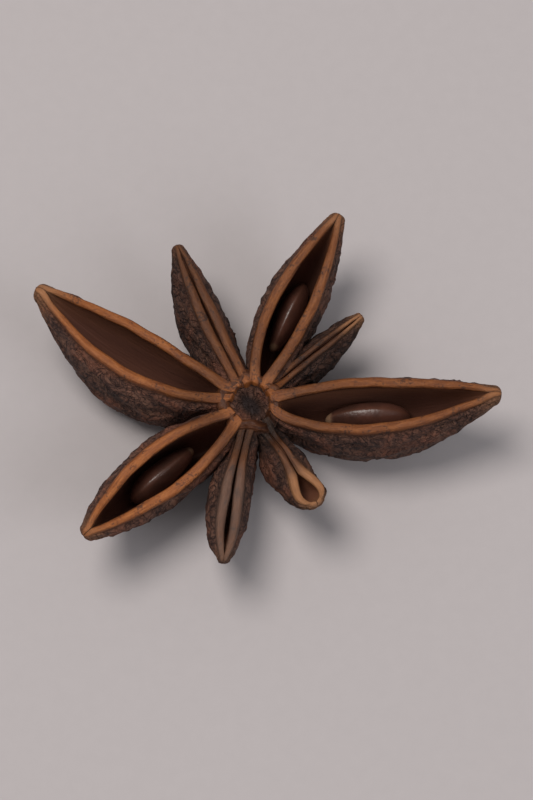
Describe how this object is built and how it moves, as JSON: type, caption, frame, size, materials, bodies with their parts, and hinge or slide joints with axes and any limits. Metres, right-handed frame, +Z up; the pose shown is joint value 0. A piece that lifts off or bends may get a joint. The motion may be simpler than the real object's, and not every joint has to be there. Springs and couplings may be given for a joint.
{
  "type": "star anise pod",
  "caption": "Dried woody fruit shaped like a star: boat-shaped arms round a short column, some split open along the top with a glossy seed inside.",
  "frame": {"origin": "middle of the cut-level stalk scar under the column, in the plane that the pod rests on", "axes": "+Z up out of the open side of the star, +X out along the longest arm, +Y to the left of it in the plane of the star"},
  "size_m": [0.0339, 0.0263, 0.0088],
  "materials": {
    "husk": "dry wrinkled bark-brown husk with smoother orange-brown lips along the open seams and a satin reddish hollow",
    "seed": "hard smooth seed coat, dark red-brown, glossy"
  },
  "bodies": {
    "root": {"husk": "husk", "seed_1": "seed", "seed_2": "seed", "seed_3": "seed"}
  },
  "joints": []
}
